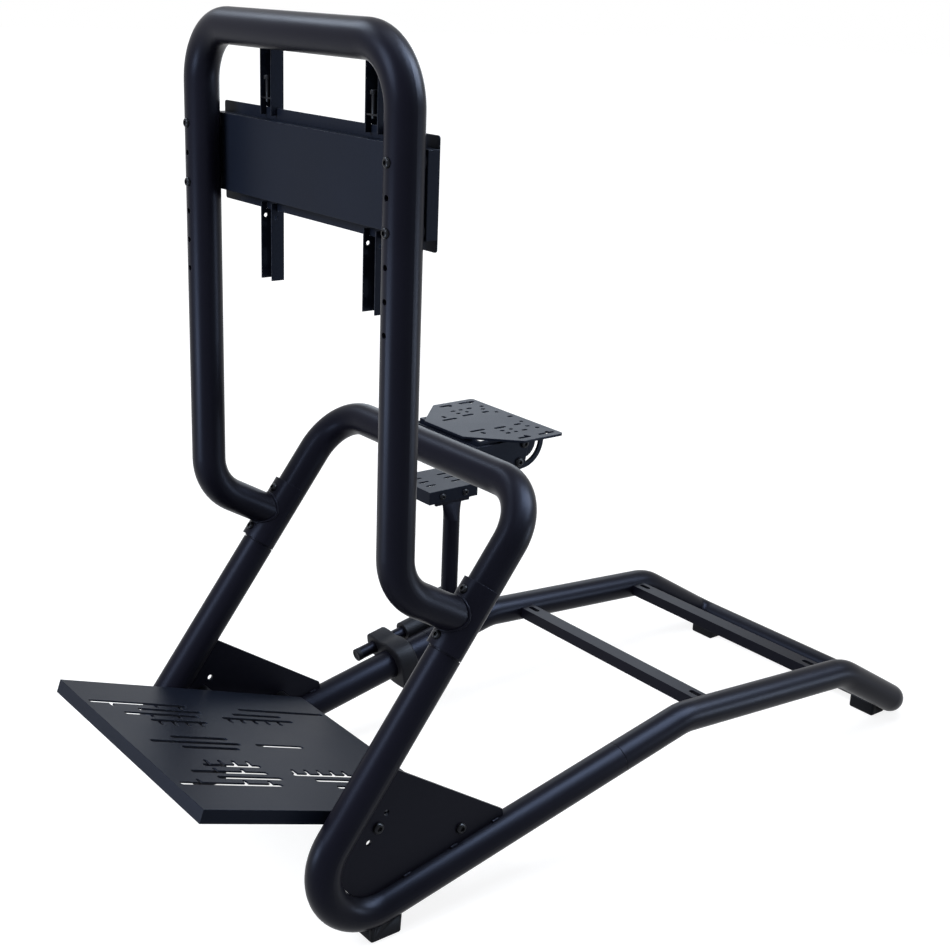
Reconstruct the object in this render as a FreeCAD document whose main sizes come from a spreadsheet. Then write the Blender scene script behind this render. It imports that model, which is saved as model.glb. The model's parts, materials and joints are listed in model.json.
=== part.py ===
import FreeCAD, Part
import math
import os
import Sketcher

# A tube-framed driving rig for racing games. Lengths are millimetres, angles are degrees.
# +X is the driver's left, -Y is the front with the pedals, +Y is the seat end, +Z is up.

SIZES = [
    ("centre_line_x", 65.15),
    ("front_corner_y", -675.25),
    ("tube_radius", 25.4),
    ("tube_wall", 2.0),
    ("joint_clearance", 0.3),
    ("seam_gap", 0.8),
    ("spigot_length", 50.0),
    ("side_half_span", 251.6),
    ("corner_drop", 1.1),
    ("leg_angle", 52.9),
    ("leg_length", 764.5),
    ("leg_joint_along", 510.0),
    ("bend_radius", 80.0),
    ("lower_angle", 11.8),
    ("lower_joint_along", 669.0),
    ("seat_start_along", 814.0),
    ("seat_slope", 4.1),
    ("seat_length", 407.5),
    ("seat_bend_radius", 100.0),
    ("tail_angle", 31.0),
    ("tail_length", 207.4),
    ("tail_bend_radius", 32.0),
    ("gusset_thickness", 5.0),
    ("gusset_leg_end", 340.0),
    ("gusset_lower_end", 440.0),
    ("gusset_end_height", 11.0),
    ("pedal_front_y", -49.4),
    ("pedal_front_height", 269.1),
    ("pedal_tilt", 19.4),
    ("pedal_length", 445.0),
    ("pedal_half_width", 223.0),
    ("pedal_sheet", 2.5),
    ("pedal_lip", 20.0),
    ("pedal_slot_width", 9.0),
    ("pedal_barb_width", 6.5),
    ("pedal_bolt_radius", 4.5),
    ("pedal_bolt_depth", 10.0),
    ("pedal_front_bolt", 267.5),
    ("pedal_bolt_spacing", 154.5),
    ("pedal_hole_pitch", 24.0),
    ("spacer_radius", 9.0),
    ("rail_width", 28.0),
    ("rail_height", 20.0),
    ("rail_sheet", 3.0),
    ("rail_rise", 9.0),
    ("front_rail_setback", 74.0),
    ("rear_rail_setback", 366.0),
    ("rail_slot_offset", 208.5),
    ("rail_slot_length", 26.0),
    ("rail_slot_width", 9.0),
    ("front_foot_y", 180.0),
    ("front_foot_length", 52.0),
    ("front_foot_width", 40.0),
    ("rear_foot_inset", 45.0),
    ("rear_foot_length", 38.0),
    ("rear_foot_width", 54.0),
    ("rear_foot_lead", 42.0),
    ("rear_foot_height", 24.0),
    ("foot_height", 30.0),
    ("tv_setback", 220.8),
    ("tv_top_height", 1211.3),
    ("tv_corner_height", 518.5),
    ("tv_toe_angle", 30.0),
    ("tv_hole_radius", 4.25),
    ("tv_hole_pitch", 42.0),
    ("tv_hole_drop", 137.8),
    ("saddle_gap", 2.0),
    ("saddle_length", 104.0),
    ("saddle_wall", 5.0),
    ("cross_half_length", 265.0),
    ("cross_sheet", 2.5),
    ("cross_depth", 17.5),
    ("cross_height", 110.0),
    ("cross_hole_margin", 14.5),
    ("screen_rail_half_length", 262.7),
    ("screen_rail_sheet", 2.0),
    ("screen_rail_height", 142.0),
    ("screen_rail_corner", 4.0),
    ("bar_clearance", 0.4),
    ("bar_width", 30.0),
    ("bar_depth", 20.0),
    ("bar_sheet", 2.0),
    ("bar_length", 362.0),
    ("bar_drop", 100.0),
    ("bar_reach", 9.0),
    ("bar_hook_drop", 10.0),
    ("bar_pin_radius", 3.0),
    ("bar_pin_setback", 7.0),
    ("bar_pin_drop", 9.0),
    ("bar_slot_margin", 14.0),
    ("bar_slot_length", 26.0),
    ("bar_slot_width", 8.0),
    ("bar_hole_margin", 74.0),
    ("bar_hole_radius", 4.0),
    ("left_bar_x", 130.5),
    ("right_bar_x", -130.5),
    ("deck_rise", 23.35),
    ("deck_sheet", 3.5),
    ("deck_front", 23.8),
    ("deck_side_front", 88.3),
    ("deck_rear", 167.2),
    ("deck_half_width", 113.5),
    ("deck_half_nose", 49.0),
    ("deck_slot_width", 6.5),
    ("deck_corner", 6.0),
    ("skirt_gap", 5.0),
    ("skirt_drop", 18.0),
    ("ear_half_span", 80.0),
    ("ear_sheet", 4.0),
    ("ear_clearance", 0.4),
    ("pivot_setback", 118.0),
    ("pivot_drop", 13.5),
    ("pivot_radius", 4.0),
    ("pivot_clearance", 0.3),
    ("slot_arc_radius", 30.0),
    ("slot_arc_start", 107.0),
    ("slot_arc_end", 8.0),
    ("sector_margin", 8.0),
    ("bracket_top_gap", 6.0),
    ("bracket_margin", 12.0),
    ("clamp_along", 603.0),
    ("clamp_length", 36.0),
    ("clamp_wall", 12.0),
    ("clamp_clearance", 0.4),
    ("clamp_corner", 6.0),
    ("rod_radius", 11.0),
    ("rod_outboard", 44.0),
    ("rod_rise", 18.0),
    ("rod_front", 37.0),
    ("rod_length", 185.0),
    ("rod_boss_wall", 7.0),
    ("elbow_length", 120.0),
    ("elbow_gap", 64.0),
    ("elbow_height", 44.0),
    ("post_setback", 745.0),
    ("post_outboard", 12.0),
    ("post_radius", 15.5),
    ("post_wall", 7.0),
    ("post_base_height", 165.0),
    ("post_flat_length", 30.0),
    ("post_tab_width", 76.0),
    ("post_tab_height", 27.5),
    ("post_tab_thickness", 5.0),
    ("shifter_top_height", 405.0),
    ("shifter_sheet", 2.5),
    ("shifter_lip", 24.0),
    ("shifter_length", 110.0),
    ("shifter_depth", 110.0),
    ("shifter_bolt_spacing", 52.0),
    ("shifter_bolt_radius", 3.5),
]

doc = FreeCAD.newDocument("driving_rig")
sheet = doc.addObject("Spreadsheet::Sheet", "Sizes")
for row, (alias, value) in enumerate(SIZES, start=1):
    sheet.set("A%d" % row, alias)
    sheet.set("B%d" % row, repr(value))
    sheet.setAlias("B%d" % row, alias)
doc.recompute()


def size(alias):
    return float(sheet.get(alias))


def bind(item, prop, text):
    item.setExpression(prop, text)


Vector = FreeCAD.Vector
Placement = FreeCAD.Placement
Rotation = FreeCAD.Rotation
finished = []

# The side view of the frame: the leg and the lower tube rise from one virtual corner.
corner_y = size("front_corner_y")
corner_z = -size("corner_drop")
middle_x = size("centre_line_x")
half_span = size("side_half_span")
tube_radius = size("tube_radius")
leg_turn = math.radians(size("leg_angle"))
low_turn = math.radians(size("lower_angle"))
leg_way = Vector(0, math.cos(leg_turn), math.sin(leg_turn))
low_way = Vector(0, math.cos(low_turn), math.sin(low_turn))
leg_rear = Vector(0, math.sin(leg_turn), -math.cos(leg_turn))
low_top = Vector(0, -math.sin(low_turn), math.cos(low_turn))


def side_x(side):
    return middle_x + side * half_span


def on_leg(side, along):
    return Vector(side_x(side), corner_y, corner_z) + leg_way * along


def on_low(side, along):
    return Vector(side_x(side), corner_y, corner_z) + low_way * along


seat_turn = math.radians(size("seat_slope"))
tail_turn = math.radians(size("tail_angle"))
seat_way = Vector(0, math.cos(seat_turn), -math.sin(seat_turn))
tail_way = Vector(0, math.cos(tail_turn), -math.sin(tail_turn))


def seat_front(side):
    return on_low(side, size("seat_start_along"))


def seat_rear(side):
    return seat_front(side) + seat_way * size("seat_length")


def tail_end(side):
    return seat_rear(side) + tail_way * size("tail_length")


def bent_wire(points, radii):
    """A path of straight runs with a tangent arc at each inner point."""
    edges = []
    start = points[0]
    for index in range(1, len(points) - 1):
        before = (points[index - 1] - points[index]).normalize()
        after = (points[index + 1] - points[index]).normalize()
        inner = math.acos(max(-1.0, min(1.0, before.dot(after))))
        reach = radii[index - 1] / math.tan(inner / 2.0)
        first = points[index] + before * reach
        last = points[index] + after * reach
        middle = (before + after).normalize()
        depth = radii[index - 1] / math.sin(inner / 2.0) - radii[index - 1]
        edges.append(Part.LineSegment(start, first).toShape())
        edges.append(Part.Arc(first, points[index] + middle * depth, last).toShape())
        start = last
    edges.append(Part.LineSegment(start, points[-1]).toShape())
    return Part.Wire(edges)


def tube(name, points, radii, radius_text):
    """A round tube swept along a bent path."""
    path = doc.addObject("Part::Feature", name + "_path")
    path.Shape = bent_wire(points, radii)
    ring = doc.addObject("Part::Circle", name + "_ring")
    bind(ring, "Radius", radius_text)
    ring.Placement = Placement(points[0], Rotation(Vector(0, 0, 1), points[1] - points[0]))
    sweep = doc.addObject("Part::Sweep", name + "_sweep")
    sweep.Sections = [ring]
    sweep.Spine = path
    sweep.Solid = True
    sweep.Frenet = False
    return sweep


def rod(name, start, way, radius_text, length_text):
    """A straight cylinder from a start point along a direction."""
    item = doc.addObject("Part::Cylinder", name)
    bind(item, "Radius", radius_text)
    bind(item, "Height", length_text)
    item.Placement = Placement(start, Rotation(Vector(0, 0, 1), way))
    return item


def block(name, corner, length_text, width_text, height_text):
    item = doc.addObject("Part::Box", name)
    bind(item, "Length", length_text)
    bind(item, "Width", width_text)
    bind(item, "Height", height_text)
    item.Placement = Placement(corner, Rotation())
    return item


def join(name, items):
    item = doc.addObject("Part::MultiFuse", name)
    item.Shapes = items
    item.Refine = True
    return item


def cut(name, base, tools):
    item = doc.addObject("Part::Cut", name)
    item.Base = base
    item.Tool = tools[0] if len(tools) == 1 else join(name + "_tools", tools)
    item.Refine = True
    return item


def finish(item, label):
    item.Label = label
    finished.append(item)
    return item


def new_body(name, place):
    body = doc.addObject("PartDesign::Body", name)
    body.Placement = place
    return body


def line(sketch, ends):
    first = Vector(ends[0][0], ends[0][1], 0)
    last = Vector(ends[1][0], ends[1][1], 0)
    sketch.addGeometry(Part.LineSegment(first, last), False)


def outline(sketch, points):
    for index in range(len(points)):
        line(sketch, (points[index], points[(index + 1) % len(points)]))


def rounded_outline(sketch, points, radius):
    """A closed outline with the same rounding at every corner."""
    ends = []
    for index, (across, along) in enumerate(points):
        here = Vector(across, along, 0)
        before = (Vector(*points[index - 1], 0) - here).normalize()
        after = (Vector(*points[(index + 1) % len(points)], 0) - here).normalize()
        inner = math.acos(max(-1.0, min(1.0, before.dot(after))))
        reach = radius / math.tan(inner / 2.0)
        depth = radius / math.sin(inner / 2.0) - radius
        first = here + before * reach
        last = here + after * reach
        middle = here + (before + after).normalize() * depth
        sketch.addGeometry(Part.Arc(first, middle, last), False)
        ends.append((first, last))
    for index in range(len(ends)):
        last = ends[index][1]
        first = ends[(index + 1) % len(ends)][0]
        sketch.addGeometry(Part.LineSegment(last, first), False)


def hole(sketch, centre, radius):
    circle = Part.Circle(Vector(centre[0], centre[1], 0), Vector(0, 0, 1), radius)
    sketch.addGeometry(circle, False)


def slot_y(sketch, centre_x, low, high, width):
    """A round-ended slot that runs along the sketch's second axis."""
    half = width / 2.0
    line(sketch, ((centre_x - half, low + half), (centre_x - half, high - half)))
    line(sketch, ((centre_x + half, low + half), (centre_x + half, high - half)))
    upper = Part.Circle(Vector(centre_x, high - half, 0), Vector(0, 0, 1), half)
    lower = Part.Circle(Vector(centre_x, low + half, 0), Vector(0, 0, 1), half)
    sketch.addGeometry(Part.ArcOfCircle(upper, 0.0, math.pi), False)
    sketch.addGeometry(Part.ArcOfCircle(lower, math.pi, 2.0 * math.pi), False)


def slot_x(sketch, low, high, centre_y, width):
    """A round-ended slot that runs along the sketch's first axis."""
    half = width / 2.0
    line(sketch, ((low + half, centre_y - half), (high - half, centre_y - half)))
    line(sketch, ((low + half, centre_y + half), (high - half, centre_y + half)))
    right = Part.Circle(Vector(high - half, centre_y, 0), Vector(0, 0, 1), half)
    left = Part.Circle(Vector(low + half, centre_y, 0), Vector(0, 0, 1), half)
    sketch.addGeometry(Part.ArcOfCircle(right, -math.pi / 2.0, math.pi / 2.0), False)
    sketch.addGeometry(Part.ArcOfCircle(left, math.pi / 2.0, 1.5 * math.pi), False)


def new_sketch(body, name, place):
    sketch = body.newObject("Sketcher::SketchObject", name)
    sketch.Placement = place
    return sketch


def pad(body, sketch, length_text):
    item = body.newObject("PartDesign::Pad", sketch.Name + "_pad")
    item.Profile = sketch
    bind(item, "Length", length_text)
    return item


def pocket(body, sketch, length_text):
    item = body.newObject("PartDesign::Pocket", sketch.Name + "_pocket")
    item.Profile = sketch
    bind(item, "Length", length_text)
    return item


def lip(body, name, corner, length_text, width_text, height_text):
    item = body.newObject("PartDesign::AdditiveBox", name)
    bind(item, "Length", length_text)
    bind(item, "Width", width_text)
    bind(item, "Height", height_text)
    item.Placement = Placement(corner, Rotation())
    return item


FLAT = Rotation()
SIDE_VIEW = Rotation(FreeCAD.Matrix(0, 0, 1, 0, 1, 0, 0, 0, 0, 1, 0, 0, 0, 0, 0, 1))
FRONT_VIEW = Rotation(FreeCAD.Matrix(1, 0, 0, 0, 0, 0, -1, 0, 0, 1, 0, 0, 0, 0, 0, 1))
SIDES = (("left", 1), ("right", -1))
CLEAR_TUBE = "Sizes.tube_radius + Sizes.joint_clearance"
BORE = "Sizes.tube_radius - Sizes.tube_wall"
SPIGOT = "Sizes.tube_radius - Sizes.tube_wall - Sizes.joint_clearance"
bend = size("bend_radius")
clear = size("joint_clearance")

# Steering hoop: one bent tube whose open leg ends sleeve over the side tubes.
hoop_points = [
    on_leg(1, size("leg_joint_along")),
    on_leg(1, size("leg_length")),
    on_leg(-1, size("leg_length")),
    on_leg(-1, size("leg_joint_along")),
]
hoop = tube("hoop", hoop_points, [bend, bend], "Sizes.tube_radius")
sockets = []
for word, side in SIDES:
    start = on_leg(side, size("leg_joint_along"))
    sockets.append(rod("hoop_socket_" + word, start, leg_way, BORE, "Sizes.spigot_length + 2"))
finish(cut("steering_hoop", hoop, sockets), "steering_hoop")

# Side tubes: a leg and a lower run in one bend, swaged down at both ends.
side_cutters = {}
for word, side in SIDES:
    upper = on_leg(side, size("leg_joint_along") - size("seam_gap"))
    lower = on_low(side, size("lower_joint_along") - size("seam_gap"))
    corner = Vector(side_x(side), corner_y, corner_z)
    points = [upper, corner, lower]
    run = tube(word + "_side", points, [bend], "Sizes.tube_radius")
    neck = "Sizes.spigot_length + 10 + Sizes.seam_gap"
    spigots = [
        rod(word + "_leg_spigot", upper - leg_way * 10, leg_way, SPIGOT, neck),
        rod(word + "_lower_spigot", lower - low_way * 10, low_way, SPIGOT, neck),
    ]
    finish(join(word + "_side_tube", [run] + spigots), word + "_side_tube")
    side_cutters[word] = points

# Rear tube: up to the seat, along under it, down to the floor and across.
rear_points = [
    on_low(1, size("lower_joint_along")),
    seat_front(1),
    seat_rear(1),
    tail_end(1),
    tail_end(-1),
    seat_rear(-1),
    seat_front(-1),
    on_low(-1, size("lower_joint_along")),
]
seat_bend = size("seat_bend_radius")
tail_bend = size("tail_bend_radius")
rear_radii = [seat_bend, seat_bend, tail_bend, tail_bend, seat_bend, seat_bend]
rear = tube("rear", rear_points, rear_radii, "Sizes.tube_radius")
sockets = []
for word, side in SIDES:
    start = on_low(side, size("lower_joint_along"))
    sockets.append(rod("rear_socket_" + word, start, low_way, BORE, "Sizes.spigot_length + 2"))
finish(cut("rear_seat_tube", rear, sockets), "rear_seat_tube")

# Feet: moulded blocks, each with a cradle for the tube above it.
for word, side in SIDES:
    width = size("front_foot_width")
    corner = Vector(side_x(side) - width / 2.0, corner_y + size("front_foot_y"), 0)
    base = block("front_%s_block" % word, corner,
                 "Sizes.front_foot_width", "Sizes.front_foot_length", "Sizes.foot_height")
    tool = tube("front_%s_cradle" % word, side_cutters[word], [bend], CLEAR_TUBE)
    finish(cut("front_%s_foot" % word, base, [tool]), "front_%s_foot" % word)
for word, side in SIDES:
    width = size("rear_foot_width")
    centre = middle_x + side * (half_span - size("rear_foot_inset"))
    corner = Vector(centre - width / 2.0, tail_end(1).y - size("rear_foot_lead"), 0)
    base = block("rear_%s_block" % word, corner,
                 "Sizes.rear_foot_width", "Sizes.rear_foot_length", "Sizes.rear_foot_height")
    tool = tube("rear_%s_cradle" % word, rear_points, rear_radii, CLEAR_TUBE)
    finish(cut("rear_%s_foot" % word, base, [tool]), "rear_%s_foot" % word)

# Pedal plate: a tilted folded sheet between the side tubes, full of fore-and-aft slots.
tilt = math.radians(size("pedal_tilt"))
pedal_front = Vector(middle_x, corner_y + size("pedal_front_y"), size("pedal_front_height"))
pedal_way = Vector(0, math.cos(tilt), -math.sin(tilt))
pedal_up = Vector(0, math.sin(tilt), math.cos(tilt))
half_plate = size("pedal_half_width")
sheet_metal = size("pedal_sheet")
plate_length = size("pedal_length")
body = new_body("pedal", Placement(pedal_front, Rotation(Vector(1, 0, 0), -size("pedal_tilt"))))
sketch = new_sketch(body, "pedal_outline", Placement(Vector(0, 0, -sheet_metal), FLAT))
outline(sketch, [(-half_plate, 0), (half_plate, 0), (half_plate, plate_length), (-half_plate, plate_length)])
slots = [(0, 38, 190), (0, 216, 303)]
for across, near, far in ((18, 80, 177), (79, 80, 177), (102, 48, 175), (120, 80, 189), (142, 9, 175),
                          (103, 217, 350), (121, 246, 338), (143, 270, 436)):
    slots.append((across, near, far))
    slots.append((-across, near, far))
for across, near, far in slots:
    slot_y(sketch, across, near, far, size("pedal_slot_width"))
pad(body, sketch, "Sizes.pedal_sheet")
barbs = new_sketch(body, "pedal_barbs", Placement(Vector(0, 0, 0), FLAT))
for across, reach, spots in ((79, 15, (92, 115, 138, 162)), (102, 10, (91, 137)), (142, 11, (43, 118, 159)),
                             (103, 15, (226, 249, 272, 295, 318))):
    half = size("pedal_barb_width") / 2.0
    for along in spots:
        for side in (1, -1):
            ends = sorted((side * across, side * (across - reach)))
            slot_x(barbs, ends[0] - half, ends[1] + half, along, size("pedal_barb_width"))
pocket(body, barbs, "Sizes.pedal_sheet")
drop = size("pedal_lip")
lip(body, "pedal_front_lip", Vector(-half_plate, 0, -drop),
    "2 * Sizes.pedal_half_width", "Sizes.pedal_sheet", "Sizes.pedal_lip")
lip(body, "pedal_left_lip", Vector(half_plate - sheet_metal, 0, -drop),
    "Sizes.pedal_sheet", "Sizes.pedal_length", "Sizes.pedal_lip")
lip(body, "pedal_right_lip", Vector(-half_plate, 0, -drop),
    "Sizes.pedal_sheet", "Sizes.pedal_length", "Sizes.pedal_lip")
bolt_along = (size("pedal_front_bolt"), size("pedal_front_bolt") + size("pedal_bolt_spacing"))
for index, along in enumerate(bolt_along):
    drill = body.newObject("PartDesign::SubtractiveCylinder", "pedal_bolt_hole_%d" % index)
    bind(drill, "Radius", "Sizes.pedal_bolt_radius")
    bind(drill, "Height", "2 * Sizes.pedal_half_width + 2")
    start = Vector(-half_plate - 1, along, -size("pedal_bolt_depth"))
    drill.Placement = Placement(start, Rotation(Vector(0, 1, 0), 90))
finish(body, "pedal_plate")


def pedal_bolt(along):
    """Where a pedal plate bolt crosses the side view."""
    return pedal_front + pedal_way * along - pedal_up * size("pedal_bolt_depth")


# Gussets: flat plates in the crook of each side tube, drilled for the pedal plate.
for word, side in SIDES:
    thick = size("gusset_thickness")
    origin = Vector(side_x(side) - thick / 2.0, corner_y, corner_z)
    body = new_body(word + "_gusset_body", Placement(origin, FLAT))
    sketch = new_sketch(body, word + "_gusset_outline", Placement(Vector(0, 0, 0), SIDE_VIEW))
    offset = tube_radius + clear
    half_crook = (leg_turn - low_turn) / 2.0
    tangent = bend / math.tan(half_crook)
    crook_way = (leg_way + low_way).normalize()
    leg_low = leg_way * tangent + leg_rear * offset
    leg_high = leg_way * size("gusset_leg_end") + leg_rear * offset
    low_near = low_way * tangent + low_top * offset
    low_far = low_way * size("gusset_lower_end") + low_top * offset
    tip = low_far + low_top * size("gusset_end_height")
    corners = [low_near, low_far, tip, leg_high, leg_low]
    flat = [(point.y, point.z) for point in corners]
    for index in range(4):
        line(sketch, (flat[index], flat[index + 1]))
    middle = crook_way * (bend / math.sin(half_crook) - bend + offset)
    arc = Part.Arc(Vector(flat[4][0], flat[4][1], 0), Vector(middle.y, middle.z, 0),
                   Vector(flat[0][0], flat[0][1], 0))
    sketch.addGeometry(arc, False)
    bolt_radius = size("pedal_bolt_radius")
    for step in (-1, 0, 1):
        point = pedal_bolt(bolt_along[0]) + leg_way * (step * size("pedal_hole_pitch"))
        hole(sketch, (point.y - corner_y, point.z - corner_z), bolt_radius)
    point = pedal_bolt(bolt_along[1])
    hole(sketch, (point.y - corner_y, point.z - corner_z), bolt_radius)
    pad(body, sketch, "Sizes.gusset_thickness")
    finish(body, word + "_gusset")

# Spacer sleeves between the pedal plate's lips and the gussets.
for word, side in SIDES:
    for place, along in (("front", bolt_along[0]), ("rear", bolt_along[1])):
        point = pedal_bolt(along)
        inner = middle_x + side * half_plate
        start = Vector(inner, point.y, point.z)
        way = Vector(side, 0, 0)
        reach = "Sizes.side_half_span - Sizes.gusset_thickness / 2 - Sizes.pedal_half_width"
        name = "%s_%s_spacer" % (word, place)
        sleeve = rod(name + "_outer", start, way, "Sizes.spacer_radius", reach)
        bore = rod(name + "_bore", start, way, "Sizes.pedal_bolt_radius", reach)
        finish(cut(name, sleeve, [bore]), name)

# Seat rails: channels, open below, welded between the side tubes, with one slot at each end.
for word in ("front", "rear"):
    centre = seat_front(1) + seat_way * size(word + "_rail_setback")
    top = centre.z + size("rail_rise")
    width = size("rail_width")
    height = size("rail_height")
    wall = size("rail_sheet")
    body = new_body(word + "_rail_body", Placement(Vector(side_x(-1), centre.y, top), FLAT))
    sketch = new_sketch(body, word + "_rail_profile", Placement(Vector(0, 0, 0), SIDE_VIEW))
    outline(sketch, [(-width / 2, 0), (width / 2, 0), (width / 2, -height), (width / 2 - wall, -height),
                     (width / 2 - wall, -wall), (-width / 2 + wall, -wall), (-width / 2 + wall, -height),
                     (-width / 2, -height)])
    pad(body, sketch, "2 * Sizes.side_half_span")
    cuts = new_sketch(body, word + "_rail_slots", Placement(Vector(0, 0, 0), FLAT))
    reach = size("rail_slot_length") / 2.0
    for side in (1, -1):
        spot = half_span + side * size("rail_slot_offset")
        slot_x(cuts, spot - reach, spot + reach, wall / 2.0, size("rail_slot_width"))
    pocket(body, cuts, "Sizes.rail_sheet")
    for word_side, side in SIDES:
        cope = body.newObject("PartDesign::SubtractiveCylinder", "%s_%s_cope" % (word, word_side))
        bind(cope, "Radius", CLEAR_TUBE)
        bind(cope, "Height", "2 * Sizes.rail_width")
        start = Vector(half_span + side * half_span, 0, -size("rail_rise")) - seat_way * width
        cope.Placement = Placement(start, Rotation(Vector(0, 0, 1), seat_way))
    finish(body, word + "_seat_rail")

# Screen stand: one bent loop whose toes are welded to saddles on the hoop's legs.
tv_y = corner_y + size("tv_setback")
tv_hole_top = size("tv_top_height") - size("tv_hole_drop")
toe_turn = math.radians(size("tv_toe_angle"))
toe_way = Vector(0, math.cos(toe_turn), -math.sin(toe_turn))


def toe_root(side):
    """Where the toe's middle line meets the leg's middle line."""
    knee = Vector(side_x(side), tv_y, size("tv_corner_height"))
    gap = knee - Vector(side_x(side), corner_y, corner_z)
    along = gap.dot(leg_rear) / toe_way.dot(leg_rear)
    return knee - toe_way * along


tv_points = [
    toe_root(1),
    Vector(side_x(1), tv_y, size("tv_corner_height")),
    Vector(side_x(1), tv_y, size("tv_top_height")),
    Vector(side_x(-1), tv_y, size("tv_top_height")),
    Vector(side_x(-1), tv_y, size("tv_corner_height")),
    toe_root(-1),
]
stand = tube("stand", tv_points, [bend] * 4, "Sizes.tube_radius")
SADDLE = "Sizes.tube_radius + Sizes.joint_clearance + Sizes.saddle_wall"
tools = []
for word, side in SIDES:
    start = on_leg(side, size("leg_joint_along"))
    tools.append(rod(word + "_toe_cope", start, leg_way, SADDLE + " + Sizes.joint_clearance",
                     "Sizes.saddle_length + 60"))
    for step in range(6):
        height = tv_hole_top - step * size("tv_hole_pitch")
        start = Vector(side_x(side), tv_y - tube_radius - 1, height)
        tools.append(rod("%s_stand_hole_%d" % (word, step), start, Vector(0, 1, 0),
                         "Sizes.tv_hole_radius", "2 * Sizes.tube_radius + 2"))
finish(cut("screen_stand", stand, tools), "screen_stand")

# Saddles: half shells on the front of the hoop's legs.
for word, side in SIDES:
    turn = Rotation(FreeCAD.Matrix(-1, 0, 0, 0, 0, -leg_rear.y, leg_way.y, 0,
                                   0, -leg_rear.z, leg_way.z, 0, 0, 0, 0, 1))
    start = on_leg(side, size("leg_joint_along") + size("saddle_gap"))
    shell = rod(word + "_saddle_shell", start, leg_way, SADDLE, "Sizes.saddle_length")
    shell.Placement = Placement(start, turn)
    shell.Angle = 180
    core = rod(word + "_saddle_core", start - leg_way, leg_way, CLEAR_TUBE, "Sizes.saddle_length + 2")
    finish(cut(word + "_saddle", shell, [core]), word + "_saddle")

# Screen crossmember: a folded channel bolted behind the two uprights.
cross_y = tv_y + tube_radius + clear
cross_top = tv_hole_top + size("cross_hole_margin")
wall = size("cross_sheet")
depth = size("cross_depth")
height = size("cross_height")
origin = Vector(middle_x - size("cross_half_length"), cross_y, cross_top - height)
body = new_body("cross_body", Placement(origin, FLAT))
sketch = new_sketch(body, "cross_profile", Placement(Vector(0, 0, 0), SIDE_VIEW))
outline(sketch, [(0, 0), (depth, 0), (depth, wall), (wall, wall), (wall, height - wall),
                 (depth, height - wall), (depth, height), (0, height)])
pad(body, sketch, "2 * Sizes.cross_half_length")
for word, side in SIDES:
    end = 2 * size("cross_half_length") - wall if side > 0 else 0.0
    lip(body, "cross_%s_end" % word, Vector(end, 0, 0),
        "Sizes.cross_sheet", "Sizes.cross_depth", "Sizes.cross_height")
    for step in (0, 2):
        drill = body.newObject("PartDesign::SubtractiveCylinder", "cross_hole_%s_%d" % (word, step))
        bind(drill, "Radius", "Sizes.tv_hole_radius")
        bind(drill, "Height", "Sizes.cross_sheet + 2")
        up = height - size("cross_hole_margin") - step * size("tv_hole_pitch")
        start = Vector(size("cross_half_length") + side * half_span, -1, up)
        drill.Placement = Placement(start, Rotation(Vector(1, 0, 0), -90))
finish(body, "screen_crossmember")

# Screen rail: a wide plate whose long edges stand clear of the crossmember for the hook-on bars.
rail_y = cross_y + depth
rail_mid = cross_top - height / 2.0
metal = size("screen_rail_sheet")
tall = size("screen_rail_height")
half_rail = size("screen_rail_half_length")
origin = Vector(middle_x, rail_y + metal, rail_mid - tall / 2.0)
body = new_body("screen_rail_body", Placement(origin, FLAT))
sketch = new_sketch(body, "screen_rail_outline", Placement(Vector(0, 0, 0), FRONT_VIEW))
rounded_outline(sketch, [(-half_rail, 0), (half_rail, 0), (half_rail, tall), (-half_rail, tall)],
                size("screen_rail_corner"))
pad(body, sketch, "Sizes.screen_rail_sheet")
finish(body, "screen_rail")

# Screen bars: upright channels, open to the front, whose notched flanges hook over the rail and slide along it.
for word, across in (("left", size("left_bar_x")), ("right", size("right_bar_x"))):
    slack = size("bar_clearance")
    metal_bar = size("bar_sheet")
    wide = size("bar_width")
    deep = size("bar_depth")
    long_bar = size("bar_length")
    reach = size("bar_reach")
    origin = Vector(middle_x + across - wide / 2.0, rail_y - reach, rail_mid - tall / 2.0 - size("bar_drop"))
    body = new_body(word + "_bar_body", Placement(origin, FLAT))
    sketch = new_sketch(body, word + "_bar_flange", Placement(Vector(0, 0, 0), SIDE_VIEW))
    near = reach - slack
    far = reach + metal + slack
    notch_low = size("bar_drop") - slack
    notch_high = size("bar_drop") + tall + slack
    grip = size("bar_hook_drop") + slack
    outline(sketch, [
        (0, 0), (deep, 0), (deep, long_bar), (0, long_bar), (0, notch_high - grip), (near, notch_high - grip),
        (near, notch_high), (far, notch_high), (far, notch_low), (near, notch_low),
        (near, notch_low + grip), (0, notch_low + grip),
    ])
    hole(sketch, (size("bar_pin_setback"), notch_low - size("bar_pin_drop")), size("bar_pin_radius"))
    pad(body, sketch, "Sizes.bar_width")
    trough = body.newObject("PartDesign::SubtractiveBox", word + "_bar_trough")
    bind(trough, "Length", "Sizes.bar_width - 2 * Sizes.bar_sheet")
    bind(trough, "Width", "Sizes.bar_depth - Sizes.bar_sheet")
    bind(trough, "Height", "Sizes.bar_length")
    trough.Placement = Placement(Vector(metal_bar, 0, 0), FLAT)
    slots_bar = new_sketch(body, word + "_bar_slots", Placement(Vector(0, deep - metal_bar / 2.0, 0), FRONT_VIEW))
    low = size("bar_slot_margin")
    high = low + size("bar_slot_length")
    slot_y(slots_bar, wide / 2.0, low, high, size("bar_slot_width"))
    slot_y(slots_bar, wide / 2.0, long_bar - high, long_bar - low, size("bar_slot_width"))
    for along in (size("bar_hole_margin"), long_bar - size("bar_hole_margin")):
        hole(slots_bar, (wide / 2.0, along), size("bar_hole_radius"))
    pocket_bar = pocket(body, slots_bar, "3 * Sizes.bar_sheet")
    pocket_bar.Midplane = True
    finish(body, word + "_screen_bar")

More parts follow.
